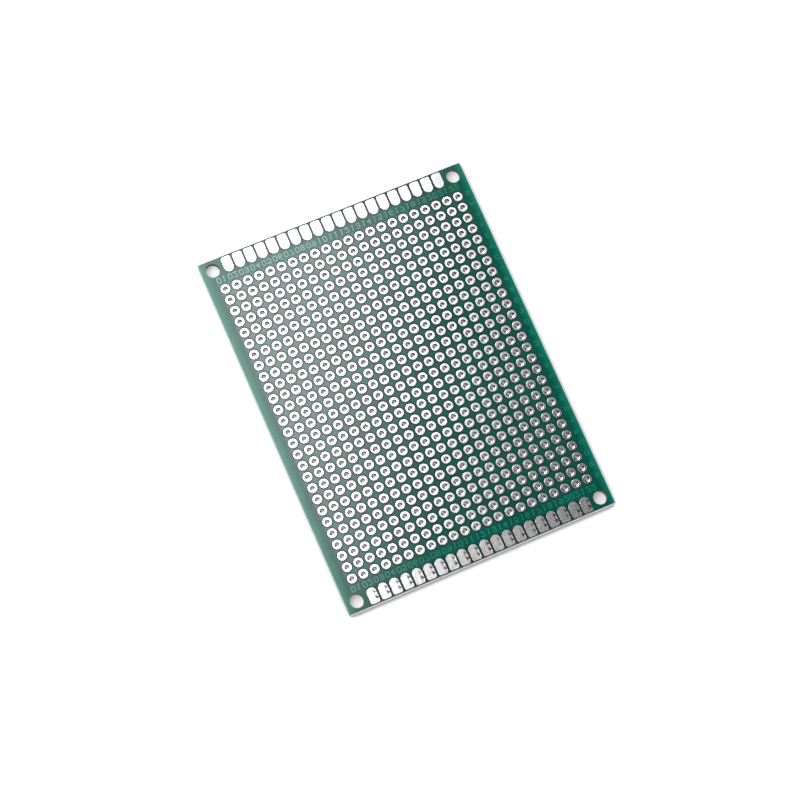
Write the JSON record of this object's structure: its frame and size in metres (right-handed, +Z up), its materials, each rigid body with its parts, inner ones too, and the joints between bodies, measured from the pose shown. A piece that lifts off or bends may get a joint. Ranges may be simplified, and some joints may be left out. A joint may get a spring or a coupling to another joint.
{
  "type": "perforated prototyping circuit board",
  "caption": "Bare double-sided green circuit board with a grid of tinned plated holes, tinned edge fingers along both short sides and a mounting hole in each corner.",
  "frame": {"origin": "centre of the board's outline, on the surface it lies on", "axes": "+Z up through the board, +Y along its length towards the far row of fingers, +X across its width"},
  "size_m": [0.06, 0.08, 0.0016],
  "materials": {
    "laminate": "bare glass-epoxy, sawn and snapped edges",
    "solder_mask": "glossy green solder mask",
    "tinned_copper": "bright hot-air-levelled tin over copper"
  },
  "bodies": {
    "root": {"laminate": "laminate", "mask_top": "solder_mask", "mask_bottom": "solder_mask", "plated_row_a": "tinned_copper", "plated_row_b": "tinned_copper", "plated_row_c": "tinned_copper", "plated_row_d": "tinned_copper", "plated_row_e": "tinned_copper", "plated_row_f": "tinned_copper", "plated_row_g": "tinned_copper", "plated_row_h": "tinned_copper", "plated_row_i": "tinned_copper", "plated_row_j": "tinned_copper", "plated_row_k": "tinned_copper", "plated_row_l": "tinned_copper", "plated_row_m": "tinned_copper", "plated_row_n": "tinned_copper", "plated_row_o": "tinned_copper", "plated_row_p": "tinned_copper", "plated_row_q": "tinned_copper", "plated_row_r": "tinned_copper", "plated_row_s": "tinned_copper", "plated_row_t": "tinned_copper", "plated_row_u": "tinned_copper", "plated_row_v": "tinned_copper", "plated_row_w": "tinned_copper", "plated_row_x": "tinned_copper", "plated_row_y": "tinned_copper", "plated_row_z": "tinned_copper", "plated_row_a2": "tinned_copper", "fingers_top_near": "tinned_copper", "fingers_top_far": "tinned_copper", "fingers_bottom_near": "tinned_copper", "fingers_bottom_far": "tinned_copper"}
  },
  "joints": []
}
